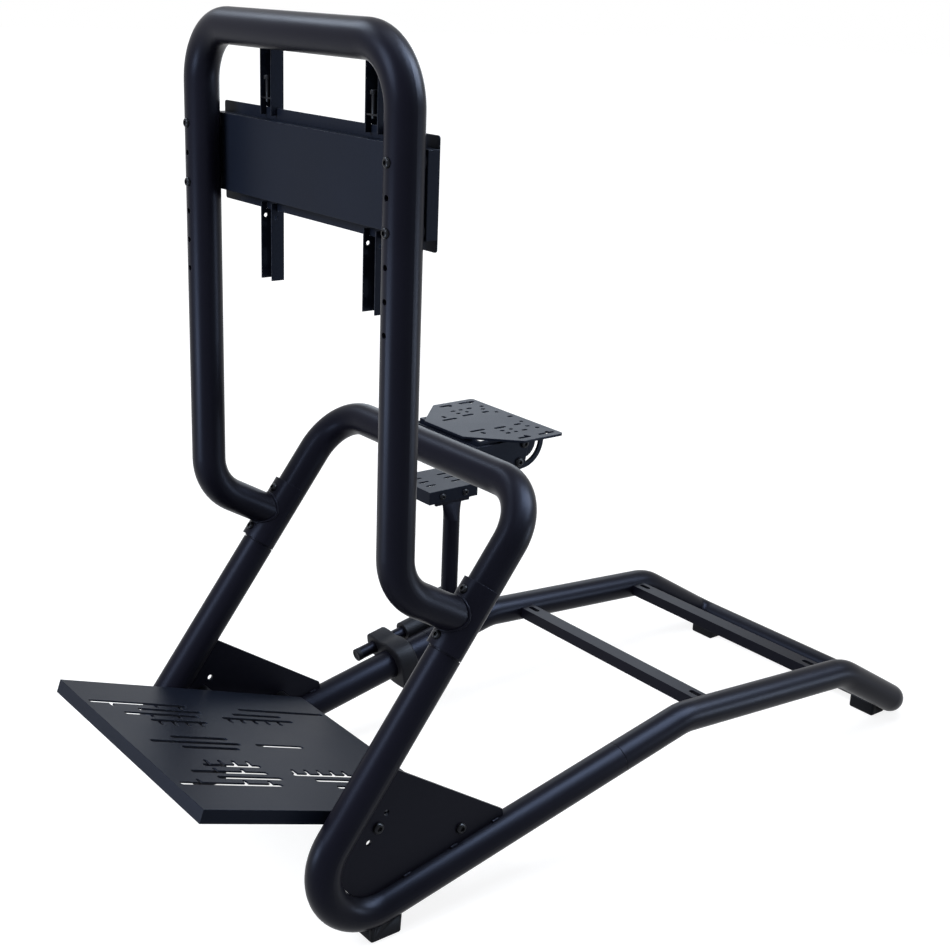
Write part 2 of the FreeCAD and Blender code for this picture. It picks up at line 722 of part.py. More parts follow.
# Wheel deck bracket: a folded channel on the back of the hoop with two ears.
hoop_top = on_leg(1, size("leg_length"))
hoop_y = hoop_top.y
hoop_z = hoop_top.z
pivot_y = hoop_y + size("pivot_setback")
deck_z = hoop_z + size("deck_rise")
pivot_z = deck_z - size("pivot_drop")
ear_half = size("ear_half_span")
ear_metal = size("ear_sheet")
lock_turn = math.radians(size("slot_arc_start"))
arc_radius = size("slot_arc_radius")
lock_y = pivot_y + arc_radius * math.cos(lock_turn)
lock_z = pivot_z - arc_radius * math.sin(lock_turn)
hole_radius = size("pivot_radius") + size("pivot_clearance")
top = deck_z - size("bracket_top_gap")
margin = size("bracket_margin")
rim = size("pivot_drop") - size("bracket_top_gap")
web_y = hoop_y + tube_radius + clear
body = new_body("bracket_body", Placement(Vector(middle_x, 0, 0), FLAT))
for word, side in SIDES:
    base = ear_half - ear_metal if side > 0 else -ear_half
    sketch = new_sketch(body, word + "_bracket_ear", Placement(Vector(base, 0, 0), SIDE_VIEW))
    outline(sketch, [
        (hoop_y, hoop_z - margin), (lock_y - margin, lock_z - margin), (lock_y + margin * 0.5, lock_z - margin),
        (lock_y + margin, lock_z - margin * 0.4), (pivot_y + rim, pivot_z - rim),
        (pivot_y + rim, pivot_z + rim * 0.2), (pivot_y + rim * 0.2, top), (hoop_y, top),
    ])
    hole(sketch, (pivot_y, pivot_z), hole_radius)
    hole(sketch, (lock_y, lock_z), hole_radius)
    pad(body, sketch, "Sizes.ear_sheet")
    if side > 0:
        lip(body, "bracket_web", Vector(-ear_half + ear_metal / 2.0, web_y, hoop_z - margin),
            "2 * Sizes.ear_half_span - Sizes.ear_sheet", "Sizes.ear_sheet",
            "Sizes.deck_rise + Sizes.bracket_margin - Sizes.bracket_top_gap")
tube_room = body.newObject("PartDesign::SubtractiveCylinder", "bracket_cope")
bind(tube_room, "Radius", CLEAR_TUBE)
bind(tube_room, "Height", "2 * Sizes.ear_half_span + 2")
tube_room.Placement = Placement(Vector(-ear_half - 1, hoop_y, hoop_z), Rotation(Vector(0, 1, 0), 90))
finish(body, "deck_bracket")

# Wheel deck: a hexagonal slotted plate on two ears with curved slots, which tilt on the bracket.
side_y = hoop_y + size("deck_side_front")
front_y = hoop_y + size("deck_front")
rear_y = hoop_y + size("deck_rear")
wide_half = size("deck_half_width")
nose_half = size("deck_half_nose")
body = new_body("deck_body", Placement(Vector(middle_x, 0, 0), FLAT))
sketch = new_sketch(body, "deck_outline", Placement(Vector(0, 0, deck_z), FLAT))
rounded_outline(sketch, [(-nose_half, front_y), (nose_half, front_y), (wide_half, side_y), (wide_half, rear_y),
                         (-wide_half, rear_y), (-wide_half, side_y)], size("deck_corner"))
deck_slots = [(99, 90, 114), (99, 129, 160), (69, 90, 99), (69, 106, 113), (69, 122, 132), (69, 148, 156),
              (55, 90, 98), (55, 108, 115), (55, 140, 148), (40, 91, 113), (40, 130, 143), (35, 48, 76)]
for across, near, far in deck_slots:
    for side in (1, -1):
        slot_y(sketch, side * across, hoop_y + near, hoop_y + far, size("deck_slot_width"))
slot_y(sketch, 0, hoop_y + 150, hoop_y + 160, size("deck_slot_width"))
for across in (31, -31):
    hole(sketch, (across, hoop_y + 152), size("deck_slot_width") / 2.0)
    slot_x(sketch, across * 1.6 - 5, across * 1.6 + 5, hoop_y + 62, size("deck_slot_width"))
pad(body, sketch, "Sizes.deck_sheet")
barbs = new_sketch(body, "deck_barbs", Placement(Vector(0, 0, deck_z), FLAT))
for side in (1, -1):
    for along in (108, 150):
        ends = sorted((side * 91, side * 99))
        slot_x(barbs, ends[0], ends[1], hoop_y + along, size("deck_slot_width"))
barb_cut = pocket(body, barbs, "3 * Sizes.deck_sheet")
barb_cut.Midplane = True
skirt_y = web_y + ear_metal + size("skirt_gap")
skirt_half = ear_half - ear_metal - size("ear_clearance")
skirt_low = deck_z - size("skirt_drop")
lip(body, "deck_skirt", Vector(-skirt_half, skirt_y, skirt_low),
    "2 * (Sizes.ear_half_span - Sizes.ear_sheet - Sizes.ear_clearance)", "Sizes.ear_sheet", "Sizes.skirt_drop")
outer_arc = arc_radius + size("pivot_radius") + size("sector_margin")
slot_half = hole_radius
for word, side in SIDES:
    inner = ear_half - 2 * ear_metal - size("ear_clearance")
    base = inner if side > 0 else -inner - ear_metal
    sketch = new_sketch(body, word + "_deck_ear", Placement(Vector(base, 0, 0), SIDE_VIEW))
    over = deck_z - pivot_z
    spread = math.sqrt(outer_arc * outer_arc - over * over)
    start_turn = math.atan2(over, spread)
    far_turn = math.radians(-size("slot_arc_start")) - 0.33
    front_point = (pivot_y + outer_arc * math.cos(far_turn), pivot_z + outer_arc * math.sin(far_turn))
    ring = Part.Circle(Vector(pivot_y, pivot_z, 0), Vector(0, 0, 1), outer_arc)
    sketch.addGeometry(Part.ArcOfCircle(ring, far_turn, start_turn), False)
    line(sketch, ((pivot_y + spread, deck_z), (skirt_y, deck_z)))
    line(sketch, ((skirt_y, deck_z), (skirt_y, skirt_low)))
    line(sketch, ((skirt_y, skirt_low), front_point))
    hole(sketch, (pivot_y, pivot_z), hole_radius)
    turn_low = math.radians(-size("slot_arc_start"))
    turn_high = math.radians(-size("slot_arc_end"))
    for radius in (arc_radius - slot_half, arc_radius + slot_half):
        ring = Part.Circle(Vector(pivot_y, pivot_z, 0), Vector(0, 0, 1), radius)
        sketch.addGeometry(Part.ArcOfCircle(ring, turn_low, turn_high), False)
    for turn, first in ((turn_high, turn_high), (turn_low, turn_low + math.pi)):
        end = Vector(pivot_y + arc_radius * math.cos(turn), pivot_z + arc_radius * math.sin(turn), 0)
        ring = Part.Circle(end, Vector(0, 0, 1), slot_half)
        sketch.addGeometry(Part.ArcOfCircle(ring, first, first + math.pi), False)
    pad(body, sketch, "Sizes.ear_sheet")
finish(body, "wheel_deck")

# Pivot and lock bolts of the wheel deck, one of each on each side.
for word, side in SIDES:
    for place, along, up in (("pivot", pivot_y, pivot_z), ("lock", lock_y, lock_z)):
        name = "%s_%s_bolt" % (word, place)
        way = Vector(-side, 0, 0)
        outer = Vector(middle_x + side * ear_half, along, up)
        shank = rod(name + "_shank", outer, way, "Sizes.pivot_radius",
                    "2 * Sizes.ear_sheet + 2 * Sizes.ear_clearance + 4")
        head = rod(name + "_head", outer - way * 4, way, "Sizes.pivot_radius * 1.8", "4")
        finish(join(name, [shank, head]), name)

# Shifter clamp: a moulded double clamp on the right lower tube and the short rod beside it.
turn = Rotation(FreeCAD.Matrix(-1, 0, 0, 0, 0, low_top.y, low_way.y, 0, 0, low_top.z, low_way.z, 0, 0, 0, 0, 1))
out_way = Vector(-1, 0, 0)
clamp_start = on_low(-1, size("clamp_along") - size("clamp_length") / 2.0)
rod_shift = out_way * size("rod_outboard") + low_top * size("rod_rise")
small_wall = "Sizes.rod_radius + Sizes.joint_clearance + Sizes.rod_boss_wall"
tube_bore = tube_radius + size("clamp_clearance")
rod_bore = size("rod_radius") + clear
ring = tube_bore + size("clamp_wall")
boss = rod_bore + size("rod_boss_wall")
rod_x = size("rod_outboard")
rod_y = size("rod_rise")
body = new_body("clamp_body", Placement(clamp_start, turn))
sketch = new_sketch(body, "clamp_outline", Placement(Vector(0, 0, 0), FLAT))
rounded_outline(sketch, [
    (-ring, -ring), (ring * 0.3, -ring), (ring, -ring * 0.3), (ring, rod_y - boss),
    (rod_x + boss, rod_y - boss), (rod_x + boss, rod_y + boss), (-ring * 0.3, ring), (-ring, ring * 0.3),
], size("clamp_corner"))
hole(sketch, (0, 0), tube_bore)
hole(sketch, (rod_x, rod_y), rod_bore)
pad(body, sketch, "Sizes.clamp_length")
finish(body, "shifter_clamp")
rod_start = clamp_start + rod_shift - low_way * size("rod_front")
finish(rod("shifter_rod", rod_start, low_way, "Sizes.rod_radius", "Sizes.rod_length"), "shifter_rod")

# Shifter elbow: holds the rod's rear end and stands the post upright.
elbow_start = clamp_start + rod_shift + low_way * size("elbow_gap")
post_x = elbow_start.x - size("post_outboard")
post_y = corner_y + size("post_setback")
arm = rod("elbow_arm", elbow_start, low_way, small_wall, "Sizes.elbow_length")
cup_base = size("post_base_height") - size("post_wall")
cup = rod("elbow_cup", Vector(post_x, post_y, cup_base), Vector(0, 0, 1),
          "Sizes.post_radius + Sizes.joint_clearance + Sizes.post_wall", "Sizes.elbow_height")
solid = join("elbow_solid", [arm, cup])
post_base = Vector(post_x, post_y, size("post_base_height"))
rod_end_room = "Sizes.rod_length - Sizes.rod_front - Sizes.elbow_gap + 2"
bores = [
    rod("elbow_post_bore", post_base - Vector(0, 0, clear), Vector(0, 0, 1),
        "Sizes.post_radius + Sizes.joint_clearance", "Sizes.elbow_height + 2"),
    rod("elbow_rod_bore", elbow_start - low_way, low_way,
        "Sizes.rod_radius + Sizes.joint_clearance", rod_end_room),
]
finish(cut("shifter_elbow", solid, bores), "shifter_elbow")

# Shifter post: a round tube pressed flat at the top, with a bolting tab.
flat_top = size("shifter_top_height") - size("shifter_sheet") - size("post_tab_height")
round_top = flat_top - size("post_flat_length")
stem = rod("post_stem", post_base, Vector(0, 0, 1), "Sizes.post_radius",
           "Sizes.shifter_top_height - Sizes.shifter_sheet - Sizes.post_tab_height"
           " - Sizes.post_flat_length - Sizes.post_base_height")
low_ring = doc.addObject("Part::Circle", "post_low_ring")
bind(low_ring, "Radius", "Sizes.post_radius")
low_ring.Placement = Placement(Vector(post_x, post_y, round_top), FLAT)
high_ring = doc.addObject("Part::Ellipse", "post_high_ring")
bind(high_ring, "MajorRadius", "Sizes.post_radius * 1.4")
bind(high_ring, "MinorRadius", "Sizes.post_tab_thickness / 2")
high_ring.Placement = Placement(Vector(post_x, post_y, flat_top), Rotation(Vector(0, 0, 1), 90))
neck = doc.addObject("Part::Loft", "post_neck")
neck.Sections = [low_ring, high_ring]
neck.Solid = True
tab_thick = size("post_tab_thickness")
tab_wide = size("post_tab_width")
tab = block("post_tab", Vector(post_x - tab_thick / 2.0, post_y - tab_wide / 2.0, flat_top),
            "Sizes.post_tab_thickness", "Sizes.post_tab_width", "Sizes.post_tab_height")
blank = join("post_blank", [stem, neck, tab])
bolt_height = size("shifter_top_height") - size("shifter_lip") / 2.0
bolt_ends = [post_y - size("shifter_bolt_spacing") / 2.0, post_y + size("shifter_bolt_spacing") / 2.0]
drills = []
for index, along in enumerate(bolt_ends):
    start = Vector(post_x - tab_thick, along, bolt_height)
    drills.append(rod("post_bolt_hole_%d" % index, start, Vector(1, 0, 0),
                      "Sizes.shifter_bolt_radius", "2 * Sizes.post_tab_thickness"))
finish(cut("shifter_post", blank, drills), "shifter_post")

# Shifter plate: a folded sheet bolted to the post by its inner lip.
metal = size("shifter_sheet")
lip_x = post_x + tab_thick / 2.0
long_way = size("shifter_length")
deep_way = size("shifter_depth")
origin = Vector(lip_x + metal, post_y, size("shifter_top_height"))
body = new_body("shifter_body", Placement(origin, FLAT))
sketch = new_sketch(body, "shifter_outline", Placement(Vector(0, 0, -metal), FLAT))
outline(sketch, [(0, -long_way / 2), (0, long_way / 2), (-deep_way, long_way / 2), (-deep_way, -long_way / 2)])
for across in (0.3, 0.5, 0.7):
    for low, high in ((-0.36, -0.16), (0.16, 0.36)):
        slot_y(sketch, -deep_way * across, long_way * low, long_way * high, 6.0)
pad(body, sketch, "Sizes.shifter_sheet")
drop = size("shifter_lip")
lip(body, "shifter_inner_lip", Vector(-metal, -long_way / 2, -drop),
    "Sizes.shifter_sheet", "Sizes.shifter_length", "Sizes.shifter_lip")
lip(body, "shifter_front_lip", Vector(-deep_way, -long_way / 2, -drop),
    "Sizes.shifter_depth", "Sizes.shifter_sheet", "Sizes.shifter_lip")
for index, along in enumerate(bolt_ends):
    drill = body.newObject("PartDesign::SubtractiveCylinder", "shifter_bolt_hole_%d" % index)
    bind(drill, "Radius", "Sizes.shifter_bolt_radius")
    bind(drill, "Height", "Sizes.shifter_sheet + 2")
    start = Vector(-metal - 1, along - post_y, -drop / 2.0)
    drill.Placement = Placement(start, Rotation(Vector(0, 1, 0), 90))
finish(body, "shifter_plate")

doc.recompute()
for item in doc.Objects:
    if "Invalid" in item.State or "Error" in item.State:
        raise RuntimeError("not rebuilt: %s" % item.Name)
os.makedirs("parts", exist_ok=True)
for item in finished:
    shape = item.Shape
    if shape.isNull() or not shape.isValid():
        raise RuntimeError("not a sound shape: %s" % item.Label)
    if len(shape.Solids) != 1:
        raise RuntimeError("%s has %d solids" % (item.Label, len(shape.Solids)))
    shape.exportStep("parts/%s.step" % item.Label)
    print(item.Label, round(shape.Volume), [round(value, 2) for value in (
        shape.BoundBox.XMin, shape.BoundBox.XMax, shape.BoundBox.YMin,
        shape.BoundBox.YMax, shape.BoundBox.ZMin, shape.BoundBox.ZMax)])
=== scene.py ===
import json
import math

import bpy
from mathutils import Matrix, Vector


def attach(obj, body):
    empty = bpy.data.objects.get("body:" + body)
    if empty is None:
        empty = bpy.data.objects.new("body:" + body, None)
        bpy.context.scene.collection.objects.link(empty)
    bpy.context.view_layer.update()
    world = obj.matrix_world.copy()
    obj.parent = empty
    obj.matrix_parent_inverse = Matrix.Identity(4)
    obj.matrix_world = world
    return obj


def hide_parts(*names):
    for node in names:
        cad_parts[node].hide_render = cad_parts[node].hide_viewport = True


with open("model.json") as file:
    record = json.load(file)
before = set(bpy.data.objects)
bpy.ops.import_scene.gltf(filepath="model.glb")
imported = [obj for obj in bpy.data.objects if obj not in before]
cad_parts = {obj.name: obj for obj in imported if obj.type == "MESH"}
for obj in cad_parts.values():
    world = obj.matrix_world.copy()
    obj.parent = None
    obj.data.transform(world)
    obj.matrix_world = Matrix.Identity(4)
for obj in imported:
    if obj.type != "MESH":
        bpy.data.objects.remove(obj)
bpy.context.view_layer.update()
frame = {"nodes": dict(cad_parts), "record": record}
nodes = frame["nodes"]
scene = bpy.context.scene

# The rig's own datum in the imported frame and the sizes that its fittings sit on, in millimetres.
CENTRE_X = 65.15
CORNER_Y = -675.25
CORNER_Z = -1.1
HALF_SPAN = 251.6
TUBE = 25.4
LEG_ANGLE = math.radians(52.9)
LOWER_ANGLE = math.radians(11.8)
PEDAL_TILT = math.radians(19.4)
TOE_ANGLE = math.radians(30.0)
STAND_Y = 220.8
STAND_KNEE = 518.5
STAND_SCREW_HEIGHTS = (1073.5, 989.5)
STAND_SCREW_SINK = 0.8
STAND_WASHER_BACK = 22.0
SADDLE_WALL = 5.0
SADDLE_SCREWS_ALONG = (526.5, 598.0)
GUSSET_HALF = 2.5
GUSSET_TACKS_ON_LOWER = (262.0, 346.0, 424.0)
GUSSET_TACKS_ON_LEG = (232.0, 322.0)
PEDAL_EDGE_Y = -49.4
PEDAL_EDGE_Z = 269.1
PEDAL_SCREWS_ALONG = (267.5, 422.0)
PEDAL_SCREW_DROP = 10.0
EAR_FACE = 80.0
PIVOT_Y = 579.15
PIVOT_Z = 618.5
LOCK_RADIUS = 30.0
LOCK_ANGLE = math.radians(107.0)
BAR_ACROSS = 130.5
BAR_SCREW_Y = 258.5
BAR_SCREW_Z = 1112.0
SHIFTER_LIP_X = -302.6
SHIFTER_SCREWS_Y = (719.0, 771.0)
SHIFTER_SCREW_Z = 393.0
ELBOW_SCREW = (-330.4, 745.0, 184.0)
CLAMP_ALONG = 603.0
CLAMP_LENGTH = 36.0
CLAMP_BORE = 25.8
CLAMP_RIM = 3.0
CLAMP_OUTLINE = ((-39, -39), (-39, -39), (-10, -41), (22, -37), (39, -16), (45, -3), (58, -4), (66, 5),
                 (66, 30), (60, 39), (36, 39), (20, 36), (0, 41), (-28, 36), (-41, 14), (-41, -14))
PINCH_OUT = 56.0
PINCH_HALF_PITCH = 9.0
PINCH_DROP = 2.0
ROD_FRONT = 548.0
ROD_OUT = 44.0
ROD_UP = 18.0
ROD_BORE = 11.3

# Camera place in the rig's millimetres, and its lens.
CAMERA_SPOT = (1721.93, -830.61, 1280.15)
CAMERA_LENS = 56.353
SENSOR_WIDTH = 36.0

# Sizes of the fittings' small forms, in metres, and the angles past which an edge stays sharp.
NEAR = 1e-5
BEAD_RADIUS = 0.0022
BEAD_RIPPLE = 0.16
BEAD_RIPPLE_TURN = 2.1
FOOT_ROUNDING = 0.0042
FOOT_LEAST_UPRIGHT = 0.004
NODE_SHARP = math.radians(32)
PIECE_SHARP = math.radians(35)


def place(across, along, up):
    """A point of the rig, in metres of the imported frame."""
    return Vector((across + CENTRE_X, along + CORNER_Y, up)) / 1000.0


LEG_WAY = Vector((0, math.cos(LEG_ANGLE), math.sin(LEG_ANGLE)))
LEG_FRONT = Vector((0, -LEG_WAY.z, LEG_WAY.y))
LOWER_WAY = Vector((0, math.cos(LOWER_ANGLE), math.sin(LOWER_ANGLE)))
LOWER_TOP = Vector((0, -LOWER_WAY.z, LOWER_WAY.y))


def on_leg(across, along, out):
    """A point beside the hoop's leg line, out towards the front."""
    spot = LEG_WAY * along + LEG_FRONT * out
    return place(across, spot.y, spot.z + CORNER_Z)


def on_lower(across, along, rise):
    """A point beside the lower tube's line, up from it."""
    spot = LOWER_WAY * along + LOWER_TOP * rise
    return place(across, spot.y, spot.z + CORNER_Z)


# Camera at the photograph's angle.
yaw = math.radians(51.28)
pitch = math.radians(18.311)
roll = math.radians(2.267)
forward = Vector((-math.sin(yaw) * math.cos(pitch), math.cos(yaw) * math.cos(pitch), -math.sin(pitch)))
right = forward.cross(Vector((0, 0, 1))).normalized()
over = right.cross(forward)
camera_x = right * math.cos(roll) + over * math.sin(roll)
camera_y = over * math.cos(roll) - right * math.sin(roll)
camera_turn = Matrix((camera_x, camera_y, -forward)).transposed().to_4x4()
camera_data = bpy.data.cameras.new("photo_camera")
camera_data.lens = CAMERA_LENS
camera_data.sensor_width = SENSOR_WIDTH
camera = bpy.data.objects.new("photo_camera", camera_data)
scene.collection.objects.link(camera)
camera.matrix_world = Matrix.Translation(place(*CAMERA_SPOT)) @ camera_turn
scene.camera = camera


# Shared shader effect of every finish on the rig.
def coat_group():
    """Powder coat: orange-peel bump, softened edges, edges lightened by wear and a painted highlight, slow
    changes of shade and sheen.
    """
    group = bpy.data.node_groups.new("powder_coat", "ShaderNodeTree")
    face = group.interface
    for title, value in (("Grain scale", 1400.0), ("Grain depth", 0.1), ("Base roughness", 0.4),
                         ("Edge radius", 0.0009), ("Edge wear and highlight", 0.5)):
        face.new_socket(title, in_out="INPUT", socket_type="NodeSocketFloat").default_value = value
    face.new_socket("Roughness", in_out="OUTPUT", socket_type="NodeSocketFloat")
    face.new_socket("Normal", in_out="OUTPUT", socket_type="NodeSocketVector")
    face.new_socket("Shade", in_out="OUTPUT", socket_type="NodeSocketFloat")
    face.new_socket("Wear and highlight", in_out="OUTPUT", socket_type="NodeSocketFloat")
    add = group.nodes.new
    source = add("NodeGroupInput")
    sink = add("NodeGroupOutput")
    coords = add("ShaderNodeTexCoord")
    grain = add("ShaderNodeTexNoise")
    grain.inputs["Detail"].default_value = 3.0
    cloud = add("ShaderNodeTexNoise")
    cloud.inputs["Scale"].default_value = 9.0
    cloud.inputs["Detail"].default_value = 4.0
    speck = add("ShaderNodeTexNoise")
    speck.inputs["Scale"].default_value = 140.0
    speck.inputs["Detail"].default_value = 2.0
    spread = add("ShaderNodeMapRange")
    spread.inputs["To Min"].default_value = -0.05
    spread.inputs["To Max"].default_value = 0.05
    rough = add("ShaderNodeMath")
    shade = add("ShaderNodeMapRange")
    shade.inputs["To Min"].default_value = 0.80
    shade.inputs["To Max"].default_value = 1.20
    edge = add("ShaderNodeBevel")
    edge.samples = 6
    surface = add("ShaderNodeNewGeometry")
    turn = add("ShaderNodeVectorMath")
    turn.operation = "DOT_PRODUCT"
    # Mask of the edges, broken into patches: there the colour is lightened, partly as wear and partly as a
    # painted highlight.
    corner = add("ShaderNodeMapRange")
    corner.inputs["From Min"].default_value = 0.995
    corner.inputs["From Max"].default_value = 0.80
    patchy = add("ShaderNodeMapRange")
    patchy.inputs["From Min"].default_value = 0.38
    patchy.inputs["From Max"].default_value = 0.62
    wear_and_highlight_mask = add("ShaderNodeMath")
    wear_and_highlight_mask.operation = "MULTIPLY"
    amount = add("ShaderNodeMath")
    amount.operation = "MULTIPLY"
    bump = add("ShaderNodeBump")
    bump.inputs["Distance"].default_value = 0.0004
    link = group.links.new
    for noise in (grain, cloud, speck):
        link(coords.outputs["Object"], noise.inputs["Vector"])
    link(source.outputs["Grain scale"], grain.inputs["Scale"])
    link(source.outputs["Grain depth"], bump.inputs["Strength"])
    link(source.outputs["Edge radius"], edge.inputs["Radius"])
    link(edge.outputs["Normal"], bump.inputs["Normal"])
    link(grain.outputs["Fac"], bump.inputs["Height"])
    link(edge.outputs["Normal"], turn.inputs[0])
    link(surface.outputs["Normal"], turn.inputs[1])
    link(turn.outputs["Value"], corner.inputs["Value"])
    link(speck.outputs["Fac"], patchy.inputs["Value"])
    link(corner.outputs["Result"], wear_and_highlight_mask.inputs[0])
    link(patchy.outputs["Result"], wear_and_highlight_mask.inputs[1])
    link(wear_and_highlight_mask.outputs["Value"], amount.inputs[0])
    link(source.outputs["Edge wear and highlight"], amount.inputs[1])
    link(cloud.outputs["Fac"], spread.inputs["Value"])
    link(cloud.outputs["Fac"], shade.inputs["Value"])
    link(source.outputs["Base roughness"], rough.inputs[0])
    link(spread.outputs["Result"], rough.inputs[1])
    link(rough.outputs["Value"], sink.inputs["Roughness"])
    link(bump.outputs["Normal"], sink.inputs["Normal"])
    link(shade.outputs["Result"], sink.inputs["Shade"])
    link(amount.outputs["Value"], sink.inputs["Wear and highlight"])
    return group


COAT = coat_group()
# Lighter colour at the edges: partly wear, partly a painted highlight.
EDGE_WEAR_AND_HIGHLIGHT = (0.055, 0.057, 0.062)


def coated(name, colour, roughness, specular, tint, grain, edge, wear_and_highlight):
    """A finish: tint is the gloss colour, grain (scale, depth), edge the softened radius, and the last value
    how strongly the edges are lightened by wear and a painted highlight.
    """
    material = bpy.data.materials.new(name)
    material.use_nodes = True
    tree = material.node_tree
    shader = tree.nodes["Principled BSDF"]
    effect = tree.nodes.new("ShaderNodeGroup")
    effect.node_tree = COAT
    effect.inputs["Grain scale"].default_value = grain[0]
    effect.inputs["Grain depth"].default_value = grain[1]
    effect.inputs["Base roughness"].default_value = roughness
    effect.inputs["Edge radius"].default_value = edge
    effect.inputs["Edge wear and highlight"].default_value = wear_and_highlight
    paint = tree.nodes.new("ShaderNodeMix")
    paint.data_type = "RGBA"
    paint.blend_type = "MULTIPLY"
    paint.inputs["Factor"].default_value = 1.0
    paint.inputs["A"].default_value = (*colour, 1.0)
    # The edge mask mixes in the lighter edge colour: wear and a painted highlight.
    wear_and_highlight_mix = tree.nodes.new("ShaderNodeMix")
    wear_and_highlight_mix.data_type = "RGBA"
    wear_and_highlight_mix.inputs["B"].default_value = (*EDGE_WEAR_AND_HIGHLIGHT, 1.0)
    link = tree.links.new
    link(effect.outputs["Shade"], paint.inputs["B"])
    link(effect.outputs["Wear and highlight"], wear_and_highlight_mix.inputs["Factor"])
    link(paint.outputs["Result"], wear_and_highlight_mix.inputs["A"])
    link(wear_and_highlight_mix.outputs["Result"], shader.inputs["Base Color"])
    link(effect.outputs["Roughness"], shader.inputs["Roughness"])
    link(effect.outputs["Normal"], shader.inputs["Normal"])
    shader.inputs["Specular IOR Level"].default_value = specular
    shader.inputs["Specular Tint"].default_value = (*tint, 1.0)
    return material


# Finishes, by the name of their material slot.
BLUE_GLOSS = (0.58, 0.69, 1.0)
GREY_GLOSS = (0.80, 0.87, 1.0)
FINISHES = {
    "frame_paint": coated("satin_black_tube", colour=(0.0040, 0.0038, 0.0068), roughness=0.36,
                          specular=0.060, tint=BLUE_GLOSS, grain=(1500.0, 0.06), edge=0.0010, wear_and_highlight=0.35),
    "plate_paint": coated("satin_black_sheet", colour=(0.0052, 0.0068, 0.0120), roughness=0.40,
                          specular=0.046, tint=BLUE_GLOSS, grain=(1300.0, 0.12), edge=0.0016, wear_and_highlight=0.55),
    "bolt_steel": coated("black_oxide_steel", colour=(0.0040, 0.0040, 0.0050), roughness=0.30,
                         specular=0.120, tint=GREY_GLOSS, grain=(2600.0, 0.05), edge=0.0005, wear_and_highlight=0.70),
    "foot_rubber": coated("black_rubber", colour=(0.0110, 0.0112, 0.0130), roughness=0.62,
                          specular=0.060, tint=GREY_GLOSS, grain=(900.0, 0.25), edge=0.0015, wear_and_highlight=0.15),
    "clamp_plastic": coated("moulded_black_plastic", colour=(0.0070, 0.0070, 0.0090), roughness=0.50,
                            specular=0.070, tint=GREY_GLOSS, grain=(1100.0, 0.30), edge=0.0020, wear_and_highlight=0.25),
}

# Each node gets the finish of its slot.
slot_of = {}
for entry in frame["record"]["subparts"]:
    slot_of[entry["node"]] = entry["material_slot"]
for name, item in nodes.items():
    mesh = item.data
    mesh.shade_smooth()
    mesh.set_sharp_from_angle(angle=NODE_SHARP)
    mesh.materials.clear()
    mesh.materials.append(FINISHES[slot_of[name]])


# Modelling helpers: one fitting is shaped at the origin, then copied to its places.
def pick_only(piece):
    """Selects one piece and makes it the active one."""
    bpy.ops.object.select_all(action="DESELECT")
    piece.select_set(True)
    bpy.context.view_layer.objects.active = piece


def start_round(name, sides, radius, low, high):
    """A cylinder on the Z axis between two heights, in metres, ready to be shaped."""
    bpy.ops.object.select_all(action="DESELECT")
    bpy.ops.mesh.primitive_cylinder_add(vertices=sides, radius=radius, depth=high - low,
                                        location=(0, 0, (low + high) / 2.0))
    piece = bpy.context.object
    piece.name = name
    bpy.ops.object.transform_apply(location=True, rotation=True, scale=True)
    return piece


def begin_edit(piece, mode):
    """Leaves a piece with nothing selected in it, in face or edge mode."""
    pick_only(piece)
    bpy.ops.object.mode_set(mode="EDIT")
    bpy.ops.mesh.select_mode(type=mode)
    bpy.ops.mesh.select_all(action="DESELECT")
    bpy.ops.object.mode_set(mode="OBJECT")


def pick_cap(piece, height, up):
    """Selects the level face at a height that looks up or down, and enters edit mode."""
    begin_edit(piece, "FACE")
    for face in piece.data.polygons:
        level = abs(face.center.z - height) < NEAR and abs(face.normal.z) > 0.99
        face.select = level and (face.normal.z > 0) == up
    bpy.ops.object.mode_set(mode="EDIT")


def pick_rim(piece, height, least=0.0):
    """Selects the level edges at a height, outside a least radius, and enters edit mode."""
    begin_edit(piece, "EDGE")
    points = piece.data.vertices
    for edge in piece.data.edges:
        ends = [points[index].co for index in edge.vertices]
        edge.select = all(abs(end.z - height) < NEAR and end.xy.length > least for end in ends)
    bpy.ops.object.mode_set(mode="EDIT")


def push_cap(piece, height, up, inward, rise):
    """Insets a level face and pushes what is left along Z."""
    pick_cap(piece, height, up)
    if inward:
        bpy.ops.mesh.inset(thickness=inward)
    bpy.ops.mesh.extrude_region_move(TRANSFORM_OT_translate={"value": (0, 0, rise)})
    bpy.ops.object.mode_set(mode="OBJECT")


def round_rim(piece, height, size, steps, least=0.0):
    """Rounds the edges of a level face."""
    pick_rim(piece, height, least)
    bpy.ops.mesh.bevel(offset=size, segments=steps, profile=0.5, affect="EDGES")
    bpy.ops.object.mode_set(mode="OBJECT")


def carve(piece, cutter):
    """Cuts one shape out of another."""
    pick_only(piece)
    bpy.ops.object.modifier_add(type="BOOLEAN")
    step = piece.modifiers[-1]
    step.operation = "DIFFERENCE"
    step.solver = "EXACT"
    step.object = cutter
    bpy.ops.object.modifier_apply(modifier=step.name)
    bpy.data.objects.remove(cutter)


